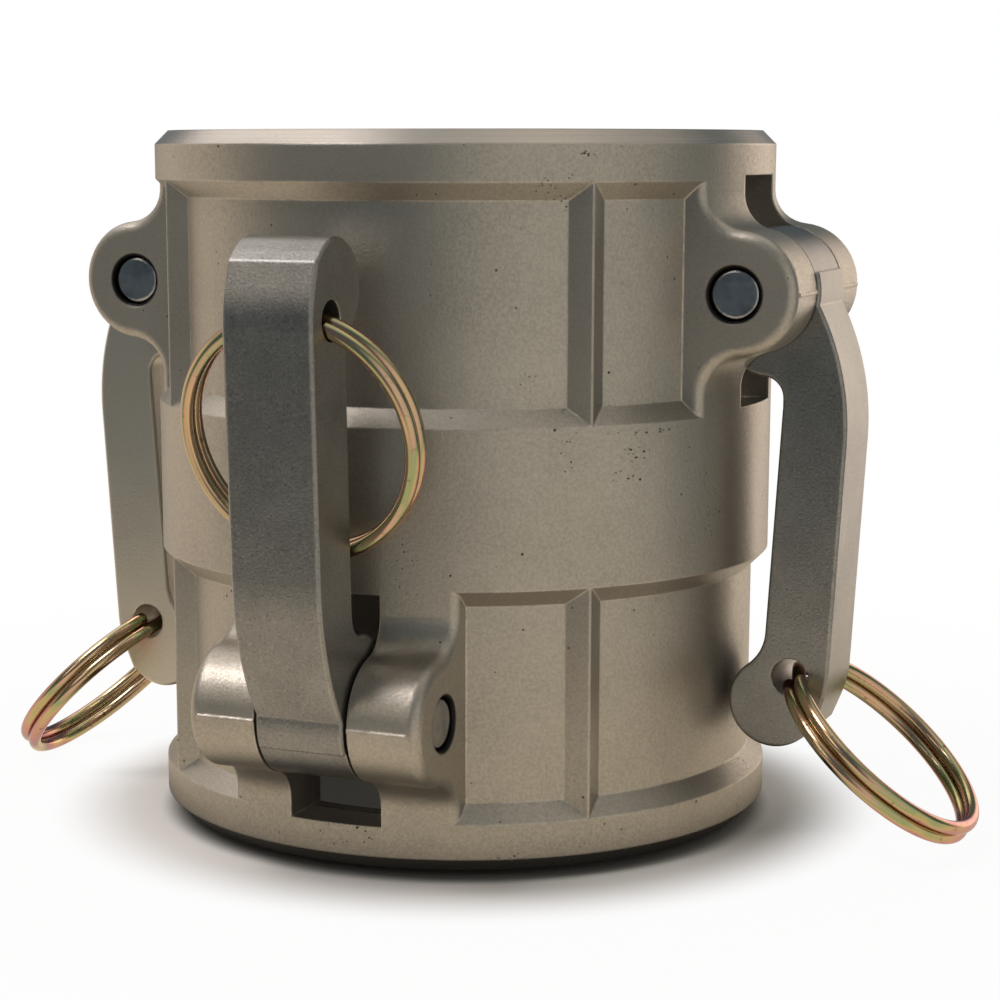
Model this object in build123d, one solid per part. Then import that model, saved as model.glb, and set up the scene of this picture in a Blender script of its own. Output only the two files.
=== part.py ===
from build123d import *
import os
from math import acos, atan2, cos, hypot, radians, sin

# Camlock spool coupler, nominal 2 inch (DN50): one cast body with a socket at each end, and two cam arms,
# pins and pull rings per socket. Millimetres. The origin is the centre of the lower end face, +Z runs along
# the flow axis. The upper socket's lugs are on +X and -X, the lower socket's on +Y and -Y.

# Body casting
HEIGHT = 87.0
OUTER_R = 39.7  # end flanges and centre band
RIM_CHAMFER = 1.7
FLANGE_H = 6.0  # end face to the start of the recessed panels
BAND_H = 19.0
PANEL_R = 37.6  # floor of the recessed panels
PANEL_BEVEL = OUTER_R - PANEL_R
HALF_END = (HEIGHT - BAND_H) / 2  # end face to the near edge of the band
RIDGE_LAND = 0.1  # half width of a ridge's flat top
RIDGE_AZIMUTHS = (45, 135, 225, 315)
SEAM_AZIMUTH = 33.0  # where the round surfaces close on themselves, clear of lugs and ridges
BURIED = 2.0  # how far ears, ridges and flash lines run into the body
CLEAR = 1.0  # how far a cutting tool stands outside what it cuts

# Sockets, gasket grooves and flow bore
SOCKET_R = 32.0
LEAD_IN = 0.5
LAND_DEPTH = 11.5  # machined land at the mouth
RELIEF_R = 32.5  # as-cast relief between the mouth land and the seat land
SEAT_LAND_DEPTH = 29.0
GROOVE_DEPTH = 34.0
GROOVE_H = 6.4
GROOVE_R = 33.5
FLOW_R = 25.4
FLOW_CHAMFER = 0.8

# Gaskets
GASKET_H = 6.35
GASKET_R = 33.4
GASKET_ROUND = 0.8

# Lugs: a raised pad with two ears either side of the arm slot
PIN_RADIAL = 40.8  # flow axis to pin axis
PIN_DEPTH = 19.2  # end face to pin axis
LUG_HALF_W = 14.9
SLOT_HALF_W = 6.0
SLOT_START = 5.4  # end face to the slot
SLOT_END = 33.4
SLOT_INNER_R = 25.8  # the cut starts inside the socket
SLOT_OUTER_R = 65.8
EAR_R = 7.6
EAR_BLEND = 4.4
EAR_ROUND = 1.4
EAR_FROM = 36.2  # the lugs' flat sides lie outside this distance from the flow axis
FLASH_PROUD = 0.13  # raised line left by the mould across each ear
FLASH_W = 0.4

# Pivot pins
PIN_R = 3.175
PIN_SINK = 0.45  # pin end below the ear's face
PIN_END_ROUND = 0.7
PIN_MOUTH = 0.35  # countersink round the pin's hole

# Cam arms, drawn closed: u points away from the body, s along the arm towards its tip, pin at (0, 0)
ARM_HALF_W = 5.6
ARM_EDGE = 0.3
ARM_BORE_R = PIN_R + 0.06
HEAD_R = 8.0
LOBE_AT = (-6.5, 1.0)
LOBE_R = 5.0
HEEL_AT = (1.2, 6.8)
HEEL_R = 3.6
SHANK_START = (7.82, 1.66)
SHANK_PEAK = (11.4, 18.7)
SHANK_END = (9.5, 49.5)
SHANK_END_ROUND = 14.0
TIP_CORNER = (7.4, 54.5)  # crease on the outer side of the tip
TIP_CORNER_ROUND = 0.6
INNER_START = (3.45, 14.0)
INNER_END = (1.2, 47.5)  # inside the round tip
TIP_AT = (2.7, 50.9)
TIP_R = 5.7
HEEL_BLEND = 2.6
TIP_BLEND = 5.5
EYE_AT = (4.8, 47.6)
EYE_R = 2.35
CAM_RELIEF = 0.45  # the head's lower round is machined this much below the cast surface
CAM_RELIEF_FROM = -17.0  # degrees from u towards s
CAM_RELIEF_TO = -112.0

# Pull rings: round wire wound almost twice, with a jog from one coil to the other
WIRE_R = 0.86
RING_R = 14.14  # centre of the wire
COIL_OFFSET = 0.88  # ring's middle plane to each coil's middle plane
JOG_DEG = 36.0  # centred on the eye, so the ring's two ends lie inside the arm
COIL_GAP_DEG = 3.0  # from each end of the wire to the jog
RING_SAG = 0.3  # the ring's centre line hangs this far inside the eye's axis

TOUCHING = 1e-3  # closer than this counts as on a plane

# Each lug: name, which socket, azimuth of the lug, how far its arm stands open, and the ring's lean away
# from the arm's tip direction, positive outwards
LUGS = (
    ("upper_right", "upper", 0, 0.6, 48.6),
    ("upper_left", "upper", 180, 0.0, 45.0),
    ("lower_front", "lower", 270, 5.8, -171.3),
    ("lower_back", "lower", 90, 0.0, 161.0),
)


def to_socket(socket, azimuth):
    """Places a piece drawn at azimuth 0 of the lower socket at its own socket and azimuth."""
    if socket == "lower":
        return Rot(0, 0, azimuth)
    return Rot(0, 0, azimuth) * Pos(0, 0, HEIGHT) * Rot(180, 0, 0)


def at_each_lug(shape):
    """Copies of a piece drawn at azimuth 0 of the lower socket, one at every lug."""
    return [to_socket(socket, azimuth) * shape for name, socket, azimuth, opening, lean in LUGS]


def turned(outline):
    """Solid of revolution about Z from (radius, height) points."""
    section = make_face(Polyline(*outline, close=True))
    return Rot(0, 0, SEAM_AZIMUTH) * revolve(Plane.XZ * section, Axis.Z)


def blank():
    """The body with both sockets bored and a plain outside."""
    lower = [
        (FLOW_R, GROOVE_DEPTH + GROOVE_H + FLOW_CHAMFER),
        (FLOW_R + FLOW_CHAMFER, GROOVE_DEPTH + GROOVE_H),
        (GROOVE_R, GROOVE_DEPTH + GROOVE_H),
        (GROOVE_R, GROOVE_DEPTH),
        (SOCKET_R, GROOVE_DEPTH),
        (SOCKET_R, SEAT_LAND_DEPTH),
        (RELIEF_R, SEAT_LAND_DEPTH - (RELIEF_R - SOCKET_R)),
        (RELIEF_R, LAND_DEPTH + (RELIEF_R - SOCKET_R)),
        (SOCKET_R, LAND_DEPTH),
        (SOCKET_R, LEAD_IN),
        (SOCKET_R + LEAD_IN, 0),
        (OUTER_R - RIM_CHAMFER, 0),
        (OUTER_R, RIM_CHAMFER),
    ]
    upper = [(r, HEIGHT - z) for r, z in reversed(lower)]
    return turned(lower + upper)


def ear_block():
    """Both ears of a lug at azimuth 0 of the lower half, before the slot is cut."""
    block = Pos(PIN_RADIAL, 0, PIN_DEPTH) * Rot(90, 0, 0) * Cylinder(EAR_R, 2 * LUG_HALF_W)
    return block - Pos(0, 0, HEIGHT / 2) * Cylinder(PANEL_R - BURIED, HEIGHT)


def panel_recesses():
    """What is taken off round the lower half to leave its flange, ridges and lug pads (lugs on +X, -X)."""
    outline = (
        (PANEL_R, FLANGE_H + PANEL_BEVEL),
        (PANEL_R, HALF_END - PANEL_BEVEL),
        (OUTER_R + CLEAR, HALF_END + CLEAR),
        (OUTER_R + CLEAR, FLANGE_H - CLEAR),
    )
    recess = turned(outline)
    apex = OUTER_R + RIDGE_LAND
    root = PANEL_R - BURIED
    wedge = make_face(Polyline((root, root - apex), (apex, 0), (root, apex - root), close=True))
    ridge = extrude(wedge, HALF_END + CLEAR)
    for azimuth in RIDGE_AZIMUTHS:
        recess -= Rot(0, 0, azimuth) * ridge
    return recess - Box(4 * OUTER_R, 2 * LUG_HALF_W, 4 * HEIGHT)


def at_lug_side(edge):
    """True for an edge that lies on the flat side of one of the four lugs."""
    middle = edge.center()
    if middle.Z < HEIGHT / 2:
        along, across = abs(middle.Y), abs(middle.X)
    else:
        along, across = abs(middle.X), abs(middle.Y)
    return abs(across - LUG_HALF_W) < TOUCHING and along > EAR_FROM


def flash_lines():
    """The mould's parting line, standing proud across both ears at azimuth 0 of the lower half."""
    outer = PIN_RADIAL + EAR_R + FLASH_PROUD
    width = 2 * (LUG_HALF_W - EAR_ROUND)
    return Pos(outer - BURIED / 2, 0, PIN_DEPTH) * Box(BURIED, width, FLASH_W)


def lug_cuts():
    """The arm slot and the pin's hole of a lug at azimuth 0 of the lower half."""
    middle = (SLOT_INNER_R + SLOT_OUTER_R) / 2
    slot = Pos(middle, 0, (SLOT_START + SLOT_END) / 2) * Box(
        SLOT_OUTER_R - SLOT_INNER_R, 2 * SLOT_HALF_W, SLOT_END - SLOT_START
    )
    hole = Cylinder(PIN_R, 2 * LUG_HALF_W)
    mouth = Cone(PIN_R, PIN_R + PIN_MOUTH, PIN_MOUTH)
    mouth_at = LUG_HALF_W - PIN_MOUTH / 2
    holes = hole + Pos(0, 0, mouth_at) * mouth + Pos(0, 0, -mouth_at) * Rot(180, 0, 0) * mouth
    return slot + Pos(PIN_RADIAL, 0, PIN_DEPTH) * Rot(90, 0, 0) * holes


def spool_body():
    """The cast body: a turned blank, ears added, panels sunk between the ridges, then the lugs' cuts."""
    body = blank()
    for ears in at_each_lug(ear_block()):
        body += ears
    recess = panel_recesses()
    body -= to_socket("lower", 90) * recess
    body -= to_socket("upper", 0) * recess
    body = fillet(body.edges().filter_by(GeomType.BSPLINE), EAR_BLEND)
    outline = [edge for edge in body.edges() if at_lug_side(edge)]
    body = fillet(outline, EAR_ROUND)
    for flash in at_each_lug(flash_lines()):
        body += flash
    for cuts in at_each_lug(lug_cuts()):
        body -= cuts
    return body


def pivot_pin():
    """A plain pin along Z with rounded ends."""
    length = 2 * (LUG_HALF_W - PIN_SINK)
    pin = Cylinder(PIN_R, length)
    return fillet(pin.edges().filter_by(GeomType.CIRCLE), PIN_END_ROUND)


def gasket():
    """A flat ring round Z with its inner edges rounded."""
    ring = Cylinder(GASKET_R, GASKET_H) - Cylinder(FLOW_R, GASKET_H)
    inner_edges = [e for e in ring.edges().filter_by(GeomType.CIRCLE) if e.radius < SOCKET_R]
    return fillet(inner_edges, GASKET_ROUND)


def tip_tangent():
    """Point where a line drawn from TIP_CORNER over the end of the arm touches the round tip."""
    du = TIP_CORNER[0] - TIP_AT[0]
    ds = TIP_CORNER[1] - TIP_AT[1]
    angle = atan2(ds, du) + acos(TIP_R / hypot(du, ds))
    return (TIP_AT[0] + TIP_R * cos(angle), TIP_AT[1] + TIP_R * sin(angle))


def vertex_near(sketch, at):
    return min(sketch.vertices(), key=lambda v: hypot(v.X - at[0], v.Y - at[1]))


def arm_profile():
    """Side view of a closed arm: a cam with its head, lobe and heel, a bowed shank and a round tip."""
    cam = make_hull(
        Circle(HEAD_R).edges()
        + (Pos(*LOBE_AT) * Circle(LOBE_R)).edges()
        + (Pos(*HEEL_AT) * Circle(HEEL_R)).edges()
    )
    slope = Vector(SHANK_PEAK[0] - SHANK_END[0], SHANK_PEAK[1] - SHANK_END[1])
    outer = TangentArc(SHANK_PEAK, SHANK_START, tangent=slope)
    rest = Polyline(
        SHANK_START, (0, 0), (INNER_START[0], HEEL_AT[1]), INNER_START, INNER_END, TIP_AT, tip_tangent(),
        TIP_CORNER, SHANK_END, SHANK_PEAK,
    )
    shank = make_face([outer, *rest.edges()])
    profile = cam + shank + Pos(*TIP_AT) * Circle(TIP_R)
    heel_corner = (INNER_START[0], HEEL_AT[1] + 1.5)
    tip_corner = (INNER_END[0], TIP_AT[1] - TIP_R)
    profile = fillet(vertex_near(profile, heel_corner), HEEL_BLEND)
    profile = fillet(vertex_near(profile, SHANK_END), SHANK_END_ROUND)
    profile = fillet(vertex_near(profile, TIP_CORNER), TIP_CORNER_ROUND)
    return fillet(vertex_near(profile, tip_corner), TIP_BLEND)


def across_arm(sketch):
    """Solid as wide as the arm from a side view of it."""
    return Rot(90, 0, 0) * Pos(0, 0, -ARM_HALF_W) * extrude(sketch, 2 * ARM_HALF_W)


def cam_relief():
    far = 3 * HEAD_R
    corners = [(far * cos(radians(a)), far * sin(radians(a))) for a in (CAM_RELIEF_FROM, CAM_RELIEF_TO)]
    sector = make_face(Polyline((0, 0), *corners, close=True))
    return across_arm((Circle(2 * HEAD_R) - Circle(HEAD_R - CAM_RELIEF)) & sector)


def cam_arm():
    """A closed arm in its own frame: the pin along Y, u along X and s along Z."""
    arm = across_arm(arm_profile())
    outline = [e for e in arm.edges() if abs(abs(e.center().Y) - ARM_HALF_W) < TOUCHING]
    arm = chamfer(outline, ARM_EDGE) - cam_relief()
    bore = Rot(90, 0, 0) * Cylinder(ARM_BORE_R, 4 * ARM_HALF_W)
    eye = Pos(EYE_AT[0], 0, EYE_AT[1]) * Rot(90, 0, 0) * Cylinder(EYE_R, 4 * ARM_HALF_W)
    return arm - bore - eye


def coil_point(angle_deg, height):
    """Point on the ring's centre circle, at a height above the ring's middle plane."""
    return (RING_R * cos(radians(angle_deg)), RING_R * sin(radians(angle_deg)), height)


def split_ring():
    """Ring round Z, centred on the origin, with its jog centred on azimuth 0."""
    first = JOG_DEG / 2
    last = 360 - first
    turn = last - first - COIL_GAP_DEG
    low = Pos(0, 0, -COIL_OFFSET) * CenterArc((0, 0), RING_R, first + COIL_GAP_DEG, turn)
    high = Pos(0, 0, COIL_OFFSET) * CenterArc((0, 0), RING_R, first, turn)
    jog = Spline(
        coil_point(last, -COIL_OFFSET),
        coil_point(360, 0),
        coil_point(first, COIL_OFFSET),
        tangents=(low % 1, high % 0),
    )
    path = Wire([low, jog, high])
    section = Plane(origin=path @ 0, z_dir=path % 0) * Circle(WIRE_R)
    return sweep(section, path=path, transition=Transition.ROUND)


def write(shape, name):
    export_step(shape, os.path.join("parts", name + ".step"))


def arm_frame(socket, azimuth, opening):
    """From an arm's own frame to its place on the body, opened by so many degrees."""
    pin = Pos(PIN_RADIAL, 0, PIN_DEPTH)
    return to_socket(socket, azimuth) * pin * Rot(0, opening, 0)


def ring_frame(lean):
    """From a ring's own frame to its arm's frame: it hangs in the arm's eye, leaning outwards."""
    hang = Pos(EYE_AT[0], 0, EYE_AT[1]) * Rot(0, lean, 0)
    return hang * Pos(0, 0, RING_R - RING_SAG) * Rot(0, 90, 0)


def main():
    os.makedirs("parts", exist_ok=True)
    write(spool_body(), "spool_body")
    seal = gasket()
    seat = GROOVE_DEPTH + (GROOVE_H - GASKET_H) + GASKET_H / 2
    for socket in ("lower", "upper"):
        write(to_socket(socket, 0) * Pos(0, 0, seat) * seal, socket + "_gasket")
    pin = pivot_pin()
    arm = cam_arm()
    ring = split_ring()
    for name, socket, azimuth, opening, lean in LUGS:
        frame = arm_frame(socket, azimuth, opening)
        write(frame * Rot(90, 0, 0) * pin, name + "_pin")
        write(frame * arm, name + "_arm")
        write(frame * ring_frame(lean) * ring, name + "_ring")


if __name__ == "__main__":
    main()
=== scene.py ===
from math import cos, radians, sin

import bpy
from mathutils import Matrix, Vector


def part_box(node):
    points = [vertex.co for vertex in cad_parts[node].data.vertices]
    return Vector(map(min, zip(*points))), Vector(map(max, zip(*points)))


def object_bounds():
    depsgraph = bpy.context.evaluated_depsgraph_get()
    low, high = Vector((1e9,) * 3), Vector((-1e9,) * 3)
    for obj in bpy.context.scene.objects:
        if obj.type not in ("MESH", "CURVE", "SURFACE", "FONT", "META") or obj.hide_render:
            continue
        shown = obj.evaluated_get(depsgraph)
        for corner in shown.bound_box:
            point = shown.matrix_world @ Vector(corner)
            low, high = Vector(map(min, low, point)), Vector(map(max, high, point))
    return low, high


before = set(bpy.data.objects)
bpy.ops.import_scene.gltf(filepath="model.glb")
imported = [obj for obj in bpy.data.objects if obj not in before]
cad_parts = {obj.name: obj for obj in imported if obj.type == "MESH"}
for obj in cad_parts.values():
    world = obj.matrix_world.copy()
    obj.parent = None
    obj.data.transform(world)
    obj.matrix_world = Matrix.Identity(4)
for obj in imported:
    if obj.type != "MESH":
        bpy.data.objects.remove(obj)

CAD_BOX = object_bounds()
MM = 0.001

# ---------------------------------------------------------------- the camera

CAMERA_AZIMUTH = 23.3  # from the front (-Y) towards +X, degrees
CAMERA_DISTANCE = 312.7 * MM  # from the coupling's axis
CAMERA_HEIGHT = 84.9 * MM
CAMERA_PITCH = 10.23  # looking down, degrees
CAMERA_LENS = 86.08
CAMERA_SHIFT = (0.0345, 0.0788)


def direction(azimuth, elevation):
    """Unit vector at an azimuth from the front towards +X and an elevation, both in degrees."""
    a = radians(azimuth)
    e = radians(elevation)
    return Vector((sin(a) * cos(e), -cos(a) * cos(e), sin(e)))


def make_camera():
    data = bpy.data.cameras.new("camera")
    data.lens = CAMERA_LENS
    data.shift_x, data.shift_y = CAMERA_SHIFT
    data.clip_start = 0.01
    camera = bpy.data.objects.new("camera", data)
    camera.location = CAMERA_DISTANCE * direction(CAMERA_AZIMUTH, 0) + Vector((0, 0, CAMERA_HEIGHT))
    camera.rotation_euler = (radians(90 - CAMERA_PITCH), 0, radians(CAMERA_AZIMUTH))
    bpy.context.scene.collection.objects.link(camera)
    bpy.context.scene.camera = camera


# ---------------------------------------------------------------- short calls for shader nodes


class Shader:
    """The node tree of a material or of the world."""

    def __init__(self, owner):
        owner.use_nodes = True
        self.owner = owner
        self.tree = owner.node_tree
        self.tree.nodes.clear()
        self.coords = self.node("ShaderNodeTexCoord").outputs["Object"]

    def node(self, kind, inputs=None, **settings):
        made = self.tree.nodes.new(kind)
        for key, value in settings.items():
            setattr(made, key, value)
        for key, value in (inputs or {}).items():
            self.feed(made.inputs[key], value)
        return made

    def feed(self, socket, value):
        if isinstance(value, bpy.types.NodeSocket):
            self.tree.links.new(value, socket)
        elif isinstance(value, (tuple, list)) and socket.type == "RGBA":
            socket.default_value = (*value[:3], 1.0)
        else:
            socket.default_value = value

    def math(self, operation, a, b=0.0, clamp=False):
        made = self.node("ShaderNodeMath", {0: a, 1: b}, operation=operation, use_clamp=clamp)
        return made.outputs[0]

    def product(self, *factors):
        result = factors[0]
        for factor in factors[1:]:
            result = self.math("MULTIPLY", result, factor)
        return result

    def vector(self, operation, a, b, output="Vector"):
        return self.node("ShaderNodeVectorMath", {0: a, 1: b}, operation=operation).outputs[output]

    def noise(self, scale, detail=2.0, roughness=0.5, coords=None):
        inputs = {"Vector": coords or self.coords, "Scale": scale, "Detail": detail, "Roughness": roughness}
        return self.node("ShaderNodeTexNoise", inputs).outputs["Fac"]

    def cells(self, scale, coords=None):
        inputs = {"Vector": coords or self.coords, "Scale": scale}
        return self.node("ShaderNodeTexVoronoi", inputs).outputs["Distance"]

    def band(self, value, low, high):
        """0 below low, 1 above high, smooth between. With low above high it falls instead."""
        inputs = {"Value": value, "From Min": low, "From Max": high}
        made = self.node("ShaderNodeMapRange", inputs, interpolation_type="SMOOTHSTEP")
        return made.outputs["Result"]

    def ramp(self, value, stops):
        made = self.node("ShaderNodeValToRGB", {"Fac": value})
        elements = made.color_ramp.elements
        while len(elements) < len(stops):
            elements.new(0.5)
        for element, (place, colour) in zip(elements, stops):
            element.position = place
            element.color = (*colour, 1.0)
        return made.outputs["Color"]

    def mixed(self, kind, share, a, b):
        made = self.node("ShaderNodeMix", data_type=kind)
        sockets = [s for s in made.inputs if s.enabled]
        for socket, value in zip(sockets, (share, a, b)):
            self.feed(socket, value)
        return next(s for s in made.outputs if s.enabled)

    def mix(self, share, a, b):
        return self.mixed("RGBA", share, a, b)

    def blend(self, share, a, b):
        return self.mixed("FLOAT", share, a, b)

    def stretched(self, x, y, z):
        return self.node("ShaderNodeMapping", {"Vector": self.coords, "Scale": (x, y, z)}).outputs["Vector"]

    def height(self):
        return self.node("ShaderNodeSeparateXYZ", {0: self.coords}).outputs[2]

    def radius(self):
        """Distance from the coupling's axis."""
        flat = self.vector("MULTIPLY", self.coords, (1, 1, 0))
        return self.node("ShaderNodeVectorMath", {0: flat}, operation="LENGTH").outputs["Value"]

    def soft_normal(self, radius):
        """Normal with every sharp edge rounded off to this radius."""
        return self.node("ShaderNodeBevel", {"Radius": radius}, samples=4).outputs["Normal"]

    def edges(self, radius):
        """1 on convex or concave edges, 0 on open surfaces."""
        true_normal = self.node("ShaderNodeNewGeometry").outputs["Normal"]
        dot = self.vector("DOT_PRODUCT", true_normal, self.soft_normal(radius), "Value")
        return self.band(dot, 0.985, 0.80)

    def bump(self, height, distance, strength=1.0, normal=None):
        inputs = {"Height": height, "Distance": distance, "Strength": strength}
        if normal is not None:
            inputs["Normal"] = normal
        return self.node("ShaderNodeBump", inputs).outputs["Normal"]

    def principled(self, **inputs):
        named = {key.replace("_", " "): value for key, value in inputs.items()}
        return self.node("ShaderNodeBsdfPrincipled", named).outputs[0]

    def choose(self, share, a, b):
        return self.node("ShaderNodeMixShader", {0: share, 1: a, 2: b}).outputs[0]

    def camera_ray(self):
        return self.node("ShaderNodeLightPath").outputs["Is Camera Ray"]

    def finish(self, shader, output="ShaderNodeOutputMaterial"):
        self.feed(self.node(output).inputs["Surface"], shader)
        return self.owner


def new_shader(name):
    return Shader(bpy.data.materials.new(name))


# ---------------------------------------------------------------- studio light

# Soft light from all round. Each light has the azimuth and elevation of its middle, the half angle of its
# bright core, the half angle where it has died away, and its colour. They were tuned for the
# camera's own view only. Between them the studio is dim and slightly blue.
AMBIENT = (0.10, 0.13, 0.145)
SOFT_LIGHTS = (
    (61, -4, 26, 53, (0.62, 0.55, 0.46)),
    (-98, -8, 18, 44, (0.76, 0.60, 0.45)),
    (-118, 50, 12, 32, (1.35, 1.2, 1.1)),
    (-46, 56, 8, 16, (8.5, 7.8, 7.5)),
    (-27, 27, 5, 14, (1.45, 1.22, 0.96)),
    (-27, -34, 6, 24, (0.55, 0.42, 0.27)),
    (159, 4, 10, 28, (1.6, 1.3, 1.05)),
    (118, 62, 12, 38, (0.45, 0.38, 0.31)),
    (60, 82, 10, 36, (0.34, 0.31, 0.27)),
)
BACKDROP = (1.0, 1.0, 1.0)


def make_world():
    world = bpy.data.worlds.new("studio")
    bpy.context.scene.world = world
    s = Shader(world)
    ray = s.node("ShaderNodeTexCoord").outputs["Generated"]
    total = AMBIENT
    for azimuth, elevation, core, edge, colour in SOFT_LIGHTS:
        towards = s.vector("DOT_PRODUCT", ray, direction(azimuth, elevation), "Value")
        share = s.band(towards, cos(radians(edge)), cos(radians(core)))
        inputs = {0: colour, 1: share, 2: total}
        total = s.node("ShaderNodeVectorMath", inputs, operation="MULTIPLY_ADD").outputs["Vector"]
    studio = s.node("ShaderNodeBackground", {"Color": total}).outputs[0]
    backdrop = s.node("ShaderNodeBackground", {"Color": BACKDROP}).outputs[0]
    s.finish(s.choose(s.camera_ray(), studio, backdrop), "ShaderNodeOutputWorld")


FLOOR_HALF = 3.0
FLOOR_COLOUR = (0.86, 0.855, 0.845)
FLOOR_GLOW = (0.78, 0.66, 0.51)  # warm light that the floor near the coupling throws up


# painted shade: the floor's colour is darkened inside the coupling out to here
FLOOR_BORE_SHADE = (38 * MM, 41 * MM)  # the floor inside the coupling is dark out to here
FOOT = (42 * MM, 56 * MM)  # the bright floor starts here
FADE = (50 * MM, 200 * MM)  # and fades into the backdrop here
NEAR_FLOOR = (90 * MM, 230 * MM)  # the metal mirrors the floor only out to here
FLOOR_WHITE = 0.95  # how white the floor already is at the coupling's foot


def pale_floor():
    """Pale floor for the camera, and a separate warm glow for what the metal mirrors.

    The two are not one physical surface: the camera sees near white, with painted shade inside the coupling's
    bore.
    """
    s = new_shader("pale_floor")
    radius = s.radius()
    outside = s.band(radius, *FOOT)
    pale = s.mix(s.noise(3), FLOOR_COLOUR, (0.84, 0.835, 0.825))
    # painted shade: darker floor colour inside the coupling's bore
    under = s.band(radius, FLOOR_BORE_SHADE[1], FLOOR_BORE_SHADE[0])
    matt = s.principled(Base_Color=s.mix(under, pale, (0.28, 0.28, 0.27)), Roughness=0.7)
    white = s.node("ShaderNodeEmission", {"Color": BACKDROP}).outputs[0]
    whiteness = s.blend(s.band(radius, *FADE), FLOOR_WHITE, 1.0)
    seen = s.choose(s.product(outside, whiteness), matt, white)
    # towards the metal only the floor near by shines back; further out the studio's own tones take over
    glow = s.node("ShaderNodeEmission", {"Color": FLOOR_GLOW, "Strength": outside}).outputs[0]
    dim = s.principled(Base_Color=(0.05, 0.048, 0.045), Roughness=0.7)
    near = s.node("ShaderNodeAddShader", {0: glow, 1: dim}).outputs[0]
    clear = s.node("ShaderNodeBsdfTransparent").outputs[0]
    lit = s.choose(s.band(radius, *NEAR_FLOOR), near, clear)
    return s.finish(s.choose(s.camera_ray(), lit, seen))


def make_floor(level):
    mesh = bpy.data.meshes.new("floor")
    h = FLOOR_HALF
    mesh.from_pydata([(-h, -h, level), (h, -h, level), (h, h, level), (-h, h, level)], [], [(0, 1, 2, 3)])
    floor = bpy.data.objects.new("floor", mesh)
    floor.data.materials.append(pale_floor())
    bpy.context.scene.collection.objects.link(floor)


# ---------------------------------------------------------------- materials

# Scuffs on the body's outside: azimuth, height, half width, half height
SCUFFS = (
    (53.8, 49.6 * MM, 2.6 * MM, 1.6 * MM),
    (51.0, 47.2 * MM, 2.2 * MM, 1.2 * MM),
    (56.5, 52.1 * MM, 6.5 * MM, 0.45 * MM),
    (44.0, 84.1 * MM, 1.3 * MM, 0.8 * MM),
    (39.5, 85.0 * MM, 1.3 * MM, 0.5 * MM),
    (49.5, 85.1 * MM, 0.8 * MM, 0.4 * MM),
    (19.0, 21.0 * MM, 0.9 * MM, 5.0 * MM),
    (33.0, 1.9 * MM, 4.0 * MM, 0.6 * MM),
)
BODY_R = 39.7 * MM
PIN_RADIAL = 40.8 * MM  # coupling axis to each pin's axis
PIN_DEPTH = 19.2 * MM  # end face to the pin's axis


def scuff_marks(s):
    """Groups of small dark dents where the casting has been knocked."""
    dots = s.band(s.cells(1900, s.stretched(0.8, 0.8, 1.3)), 0.40, 0.22)
    total = 0.0
    for azimuth, height, half_width, half_height in SCUFFS:
        middle = BODY_R * direction(azimuth, 0) + Vector((0, 0, height))
        offset = s.vector("SUBTRACT", s.coords, middle)
        scaled = s.vector("DIVIDE", offset, (half_width, half_width, half_height))
        distance = s.node("ShaderNodeVectorMath", {0: scaled}, operation="LENGTH").outputs["Value"]
        total = s.math("MAXIMUM", total, s.band(distance, 1.15, 0.3))
    return s.product(dots, s.band(s.noise(900, 2), 0.42, 0.55), total)


TURNED_RIM = (1.6 * MM, 1.9 * MM)  # from each end face
TURNED_BORE = (34.2 * MM, 34.6 * MM)  # everything nearer the axis is turned
# painted shade: the dark ring round each pin, measured from the pin's axis
PIN_GAP_SHADE = (3.35 * MM, 3.75 * MM)  # from each pin's axis


def pin_gap_shade(s, height):
    """Painted shade in the ears' holes: a dark ring round the end of every pin, where the gap lies in shade.
    """
    x, y, z = s.node("ShaderNodeSeparateXYZ", {0: s.coords}).outputs
    nearest = 1.0
    for across, level in ((x, height - PIN_DEPTH), (y, PIN_DEPTH)):
        out = s.math("SUBTRACT", s.math("ABSOLUTE", across), PIN_RADIAL)
        up = s.math("SUBTRACT", z, level)
        squared = s.math("ADD", s.product(out, out), s.product(up, up))
        nearest = s.math("MINIMUM", nearest, s.math("SQRT", squared))
    return s.band(nearest, PIN_GAP_SHADE[1], PIN_GAP_SHADE[0])


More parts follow.
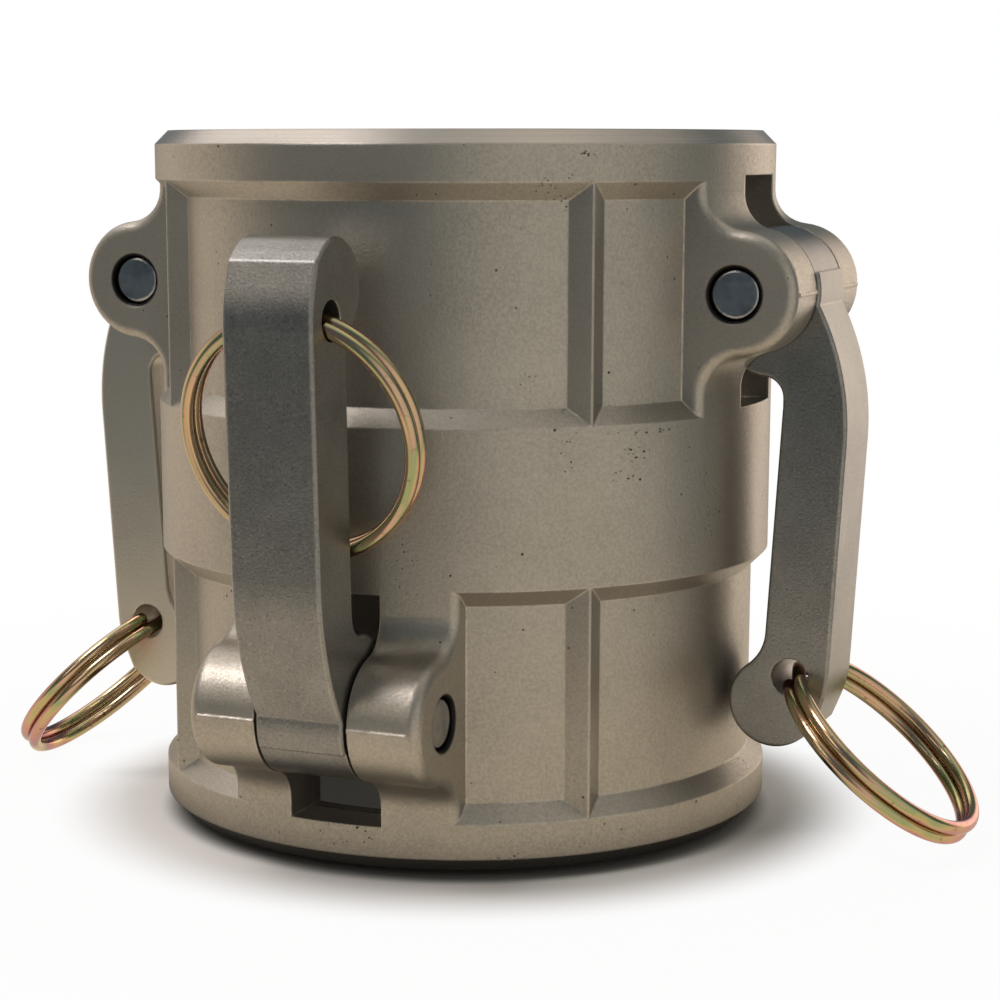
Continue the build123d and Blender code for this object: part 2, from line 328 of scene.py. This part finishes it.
def cast_aluminium(height):
    """Satin sand-cast aluminium; the sockets are turned bright on a lathe."""
    s = new_shader("cast_aluminium")
    z = s.height()
    mottle = s.noise(70, 4, 0.6)
    grain = s.noise(2600, 3, 0.65)
    fine = s.noise(6500, 1, 0.5)
    tones = ((0.30, (0.345, 0.32, 0.28)), (0.55, (0.385, 0.36, 0.315)), (0.75, (0.42, 0.39, 0.34)))
    skin = s.ramp(mottle, tones)
    speckle = s.band(grain, 0.33, 0.68)
    skin = s.mix(s.product(speckle, 0.38), skin, (0.54, 0.51, 0.455))
    # scattered pits and scuffs
    groups = s.band(s.noise(85, 2), 0.64, 0.74)
    pits = s.product(s.band(s.cells(1500), 0.22, 0.10), groups)
    lone = s.product(s.band(s.cells(420), 0.085, 0.05), s.band(s.noise(160, 1), 0.45, 0.6))
    pits = s.math("MAXIMUM", s.math("MAXIMUM", pits, lone), scuff_marks(s))
    skin = s.mix(s.product(pits, 0.85), skin, (0.06, 0.055, 0.05))
    # rubbed edges: partly real wear, partly a painted highlight along every edge
    worn_edge_highlight = s.product(s.edges(0.45 * MM), s.band(s.noise(400, 3), 0.30, 0.55))
    skin = s.mix(s.product(worn_edge_highlight, 0.75), skin, (0.86, 0.80, 0.72))
    # turned rims and sockets
    low_rim = s.band(z, TURNED_RIM[1], TURNED_RIM[0])
    high_rim = s.band(z, height - TURNED_RIM[1], height - TURNED_RIM[0])
    bore = s.band(s.radius(), TURNED_BORE[1], TURNED_BORE[0])
    turned = s.math("MAXIMUM", s.math("MAXIMUM", low_rim, high_rim), bore)
    rings = s.noise(1.0, 2, 0.6, s.stretched(40, 40, 5200))
    bright = s.mix(rings, (0.40, 0.375, 0.34), (0.56, 0.53, 0.49))
    rough = s.blend(pits, s.blend(turned, s.blend(speckle, 0.44, 0.36), 0.27), 0.8)
    cast = s.math("ADD", s.product(grain, 0.75), s.product(fine, 0.35))
    cast = s.math("SUBTRACT", cast, s.product(pits, 0.9))
    normal = s.bump(s.noise(220, 3, 0.5), 0.12 * MM, 0.30, s.soft_normal(0.35 * MM))
    cast_normal = s.bump(cast, 0.05 * MM, 0.7, normal)
    lathe_normal = s.bump(rings, 0.012 * MM, 0.5, normal)
    normal = s.mixed("VECTOR", turned, cast_normal, lathe_normal)
    colour = s.mix(turned, skin, bright)
    # painted shade: near black round each pin's end, where the gap between pin and hole lies in shade
    colour = s.mix(pin_gap_shade(s, height), colour, (0.012, 0.012, 0.012))
    return s.finish(s.principled(Base_Color=colour, Metallic=0.9, Roughness=rough, Normal=normal))


def blasted_steel(name, pale):
    """Investment-cast steel arm, blasted to a dull speckled grey, bright where hands and the bench rub it,
    with a painted highlight along its edges.

    pale, from 0 to 1, is how much painted light lightens this arm, standing in for light that falls on it
    from the left.
    """
    s = new_shader(name)
    grain = s.noise(3200, 3, 0.7)
    mottle = s.noise(130, 4, 0.6)
    tones = ((0.3, (0.215, 0.215, 0.21)), (0.6, (0.27, 0.27, 0.26)), (0.8, (0.32, 0.315, 0.30)))
    base = s.ramp(mottle, tones)
    base = s.mix(s.product(s.band(grain, 0.50, 0.74), 0.50), base, (0.46, 0.43, 0.39))
    base = s.mix(s.product(s.band(grain, 0.45, 0.30), 0.5), base, (0.07, 0.07, 0.07))
    # painted light: the arm on the lit side is lightened by this share
    base = s.mix(pale, base, (0.84, 0.77, 0.64))
    scratch = s.noise(1.0, 2, 0.5, s.stretched(900, 900, 60))
    # edges lightened: partly real wear, partly a painted highlight
    worn_edge_highlight = s.product(s.edges(0.40 * MM), s.band(s.noise(500, 3), 0.3, 0.55))
    base = s.mix(s.product(worn_edge_highlight, 0.8), base, (0.72, 0.66, 0.58))
    rough = s.blend(worn_edge_highlight, s.blend(grain, 0.25, 0.38), 0.24)
    normal = s.bump(scratch, 0.02 * MM, 0.3, s.soft_normal(0.4 * MM))
    normal = s.bump(grain, 0.05 * MM, 0.7, normal)
    return s.finish(s.principled(Base_Color=base, Metallic=0.92, Roughness=rough, Normal=normal))


def polished_pin():
    """Bright steel pin, smeared with oil, with painted shade round its rim."""
    s = new_shader("polished_pin")
    smear = s.noise(260, 3, 0.6)
    fine = s.noise(2400, 2, 0.5)
    base = s.ramp(smear, ((0.3, (0.20, 0.205, 0.22)), (0.55, (0.40, 0.405, 0.42)), (0.8, (0.30, 0.24, 0.19))))
    # painted shade where the pin meets its hole
    base = s.mix(s.product(s.edges(0.55 * MM), 0.9), base, (0.015, 0.015, 0.015))
    rough = s.blend(smear, 0.14, 0.30)
    normal = s.bump(s.math("ADD", smear, s.product(fine, 0.25)), 0.16 * MM, 0.7)
    return s.finish(s.principled(Base_Color=base, Metallic=1.0, Roughness=rough, Normal=normal))


def yellow_zinc():
    """Yellow chromate over zinc: bands of gold, green, pink and brown that run along the wire."""
    s = new_shader("yellow_zinc")
    drift = s.noise(110, 2, 0.5)
    facing = s.node("ShaderNodeLayerWeight", {"Blend": 0.5}).outputs["Facing"]
    hue = s.math("ADD", s.product(drift, 0.62), s.product(facing, 0.58))
    base = s.ramp(
        hue,
        (
            (0.24, (0.66, 0.52, 0.27)),
            (0.36, (0.62, 0.40, 0.30)),
            (0.46, (0.34, 0.42, 0.22)),
            (0.56, (0.60, 0.48, 0.24)),
            (0.66, (0.62, 0.28, 0.26)),
            (0.78, (0.38, 0.22, 0.26)),
            (0.90, (0.66, 0.55, 0.30)),
        ),
    )
    dull = s.noise(900, 3, 0.6)
    base = s.mix(s.band(dull, 0.60, 0.78), base, (0.20, 0.15, 0.10))
    normal = s.bump(dull, 0.02 * MM, 0.4)
    rough = s.blend(dull, 0.12, 0.26)
    return s.finish(s.principled(Base_Color=base, Metallic=1.0, Roughness=rough, Normal=normal))


def nitrile_rubber():
    """Black gasket rubber with a faint bloom."""
    s = new_shader("nitrile_rubber")
    bloom = s.noise(120, 4, 0.6)
    grain = s.noise(2500, 2, 0.5)
    base = s.ramp(bloom, ((0.3, (0.012, 0.012, 0.013)), (0.7, (0.035, 0.034, 0.033))))
    normal = s.bump(grain, 0.03 * MM, 0.6, s.soft_normal(0.4 * MM))
    return s.finish(s.principled(Base_Color=base, Roughness=s.blend(grain, 0.55, 0.75), Normal=normal))


# ---------------------------------------------------------------- dressing the CAD nodes


# painted light: the upper left arm gets a lighter copy of the steel, for the light falling on it from the
# left
LEFT_ARM_PAINTED_LIGHT = 0.55


def dress(node, material):
    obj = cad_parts[node]
    obj.data.materials.clear()
    obj.data.materials.append(material)


def dress_all():
    """Give every CAD node its material; the first ending in the table that fits a node's name wins."""
    aluminium = cast_aluminium(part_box("spool_body")[1].z)
    rubber = nitrile_rubber()
    by_ending = {
        "upper_left_arm": blasted_steel("painted_light_steel", LEFT_ARM_PAINTED_LIGHT),
        "_arm": blasted_steel("blasted_steel", 0.0),
        "_pin": polished_pin(),
        "_ring": yellow_zinc(),
    }
    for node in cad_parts:
        if node == "spool_body":
            dress(node, aluminium)
            continue
        endings = [made for ending, made in by_ending.items() if node.endswith(ending)]
        dress(node, endings[0] if endings else rubber)


bpy.context.scene.view_settings.view_transform = "Standard"
make_world()
make_floor(CAD_BOX[0].z)
make_camera()
dress_all()
